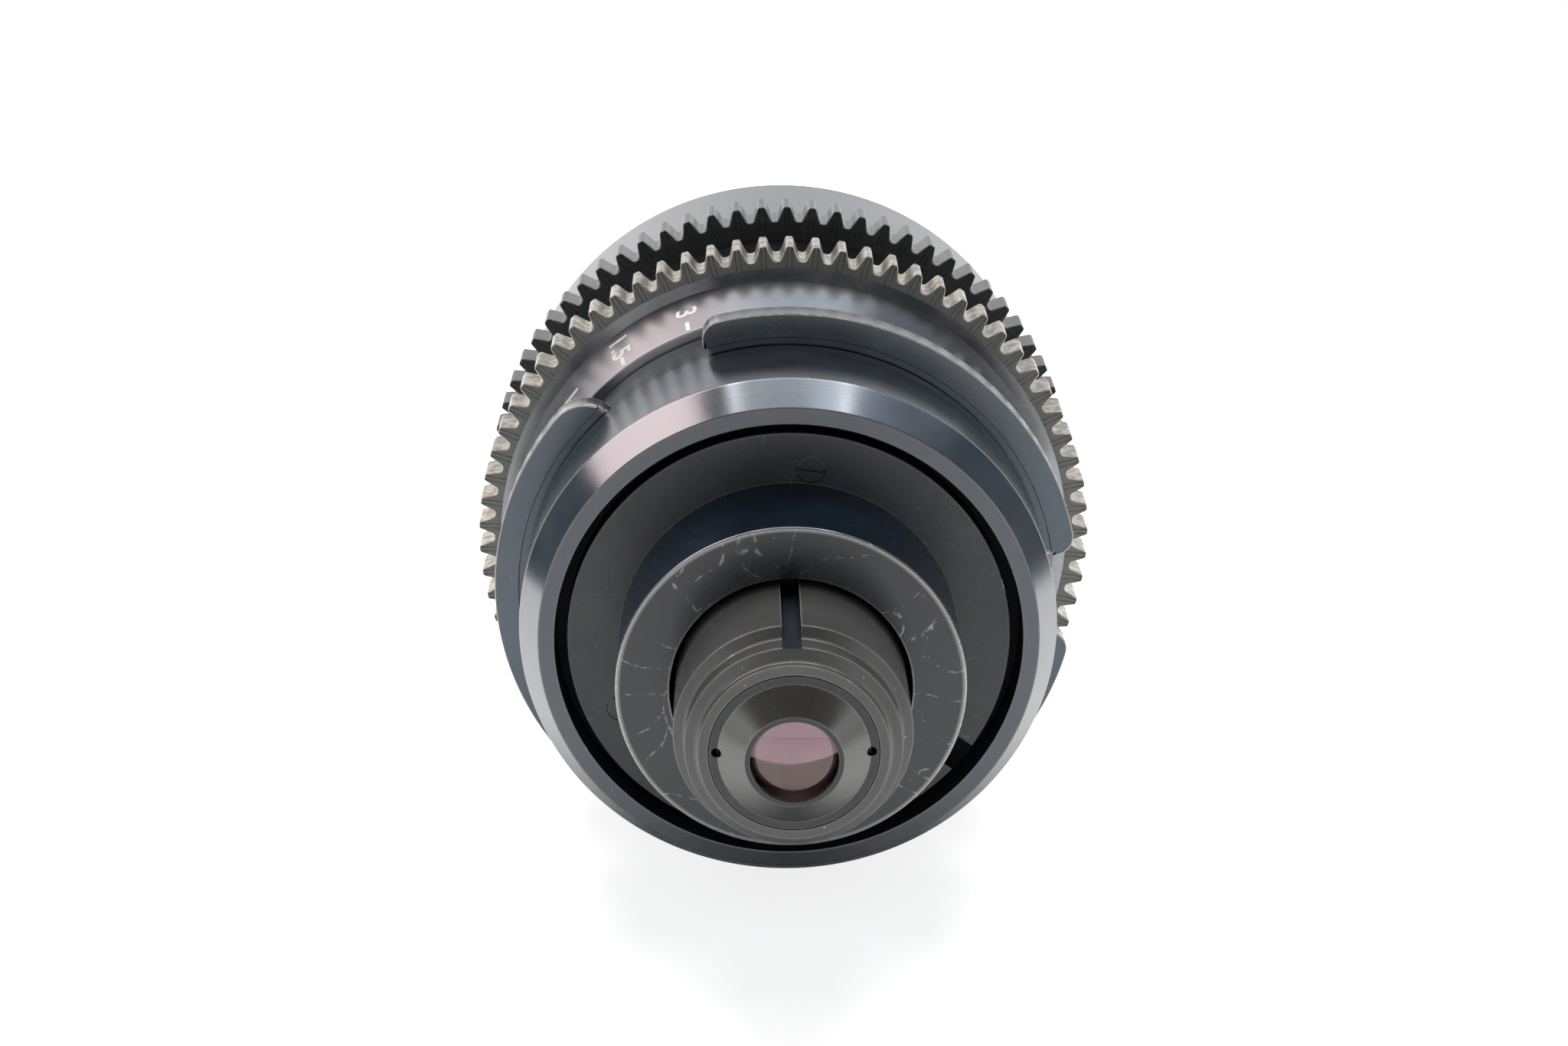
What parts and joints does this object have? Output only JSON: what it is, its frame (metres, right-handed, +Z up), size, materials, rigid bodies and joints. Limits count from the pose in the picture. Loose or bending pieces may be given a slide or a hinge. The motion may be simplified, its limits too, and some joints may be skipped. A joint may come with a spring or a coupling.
{
  "type": "cinema prime lens",
  "caption": "Cinema prime lens with a winged bayonet mount, geared focus and iris rings, a keyed sliding optical unit and a working iris.",
  "frame": {"origin": "on the optical axis at the flange seat, the rear face of the mount's wings", "axes": "+Y along the optical axis toward the scene, -Y toward the camera, +Z up as the lens lies on its gears"},
  "size_m": [0.0608, 0.0795, 0.0608],
  "materials": {
    "anodised_black": "black anodised, turned, satin",
    "matte_black": "black anodised, matte",
    "gear_metal": "cut teeth, dark, worn bright on the flanks",
    "bare_brass": "bare",
    "blackened_brass": "blackened, worn to brass at the rim",
    "screw_steel": "blued",
    "blade_steel": "matte black",
    "coated_glass": "polished, coated"
  },
  "bodies": {
    "barrel": {"bayonet_mount": "anodised_black", "mount_shim": "bare_brass", "mount_screws": "screw_steel", "rear_sleeve": "matte_black", "sleeve_screws": "screw_steel", "guide_key": "screw_steel", "key_screw": "screw_steel", "main_barrel": "anodised_black", "stop_pins": "screw_steel", "front_housing": "anodised_black", "housing_screws": "screw_steel", "front_ring": "matte_black"},
    "focus": {"focus_ring": "anodised_black", "focus_gear": "gear_metal", "focus_gear_screws": "screw_steel"},
    "iris": {"iris_ring": "anodised_black", "iris_gear": "gear_metal", "iris_gear_screws": "screw_steel"},
    "carriage": {"lens_carrier": "anodised_black", "cam_followers": "bare_brass", "rear_tube": "blackened_brass", "tube_lock_nut": "bare_brass", "rear_bezel": "matte_black", "rear_element": "coated_glass", "rear_mid_element": "coated_glass", "rear_spacer": "matte_black", "rear_inner_element": "coated_glass", "rear_retainer": "matte_black", "iris_seat": "matte_black", "iris_retainer": "matte_black", "front_cell": "anodised_black", "inner_element": "coated_glass", "inner_retainer": "matte_black", "middle_element": "coated_glass", "middle_retainer": "matte_black", "front_element": "coated_glass", "front_retainer": "matte_black"},
    "iris_cam": {"iris_cam_ring": "bare_brass", "iris_drive_pin": "screw_steel"},
    "blade_1": {"iris_blade_1": "blade_steel"},
    "blade_2": {"iris_blade_2": "blade_steel"},
    "blade_3": {"iris_blade_3": "blade_steel"},
    "blade_4": {"iris_blade_4": "blade_steel"},
    "blade_5": {"iris_blade_5": "blade_steel"},
    "blade_6": {"iris_blade_6": "blade_steel"}
  },
  "joints": [
    {"name": "focus_turn", "type": "hinge", "parent": "barrel", "child": "focus", "pos_m": [0, 0.0122, 0], "axis": [0, 1, 0], "range_deg": [0, 84]},
    {"name": "carriage_slide", "type": "slide", "parent": "barrel", "child": "carriage", "axis": [0, 1, 0], "range_m": [0, 0.0024]},
    {"name": "iris_turn", "type": "hinge", "parent": "barrel", "child": "iris", "pos_m": [0, 0.026, 0], "axis": [0, 1, 0], "range_deg": [0, 36]},
    {"name": "iris_cam_turn", "type": "hinge", "parent": "carriage", "child": "iris_cam", "pos_m": [0, 0.0235, 0], "axis": [0, 1, 0], "range_deg": [0, 36]},
    {"name": "blade_1_swing", "type": "hinge", "parent": "carriage", "child": "blade_1", "pos_m": [0.0092, 0.0213, 0], "axis": [0, 1, 0], "range_deg": [0, 27]},
    {"name": "blade_2_swing", "type": "hinge", "parent": "carriage", "child": "blade_2", "pos_m": [0.0046, 0.0213, 0.00797], "axis": [0, 1, 0], "range_deg": [0, 27]},
    {"name": "blade_3_swing", "type": "hinge", "parent": "carriage", "child": "blade_3", "pos_m": [-0.0046, 0.0213, 0.00797], "axis": [0, 1, 0], "range_deg": [0, 27]},
    {"name": "blade_4_swing", "type": "hinge", "parent": "carriage", "child": "blade_4", "pos_m": [-0.0092, 0.0213, 0], "axis": [0, 1, 0], "range_deg": [0, 27]},
    {"name": "blade_5_swing", "type": "hinge", "parent": "carriage", "child": "blade_5", "pos_m": [-0.0046, 0.0213, -0.00797], "axis": [0, 1, 0], "range_deg": [0, 27]},
    {"name": "blade_6_swing", "type": "hinge", "parent": "carriage", "child": "blade_6", "pos_m": [0.0046, 0.0213, -0.00797], "axis": [0, 1, 0], "range_deg": [0, 27]}
  ],
  "couplings": [
    {"joint": "focus_turn", "follows": "carriage_slide", "rad_per_m": 610.87},
    {"joint": "iris_cam_turn", "follows": "iris_turn", "ratio": 1},
    {"joint": "blade_1_swing", "follows": "iris_turn", "ratio": 0.75},
    {"joint": "blade_2_swing", "follows": "iris_turn", "ratio": 0.75},
    {"joint": "blade_3_swing", "follows": "iris_turn", "ratio": 0.75},
    {"joint": "blade_4_swing", "follows": "iris_turn", "ratio": 0.75},
    {"joint": "blade_5_swing", "follows": "iris_turn", "ratio": 0.75},
    {"joint": "blade_6_swing", "follows": "iris_turn", "ratio": 0.75}
  ]
}
